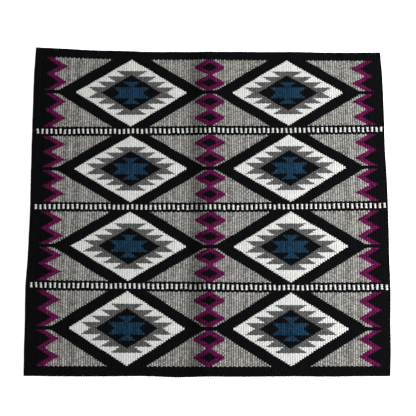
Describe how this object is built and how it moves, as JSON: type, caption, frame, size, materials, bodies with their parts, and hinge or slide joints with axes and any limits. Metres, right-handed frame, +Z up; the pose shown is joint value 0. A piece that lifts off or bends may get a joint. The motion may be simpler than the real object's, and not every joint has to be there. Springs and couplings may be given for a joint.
{
  "type": "western saddle blanket",
  "caption": "Thick hand-woven wool saddle blanket lying flat, ribbed weave with stepped diamonds, beaded stripes and zigzag sides.",
  "frame": {"origin": "middle of the bounding box, on the underside that the blanket lies on", "axes": "+X across the ribs, towards the right edge; +Y along the ribs, towards the far end; +Z up from the face it lies on"},
  "size_m": [0.9256, 0.8673, 0.0094],
  "materials": {
    "wool": "weft-faced wool weave, matt, in black, greys, white, blue and purple"
  },
  "bodies": {
    "root": {"blanket": "wool"}
  },
  "joints": []
}
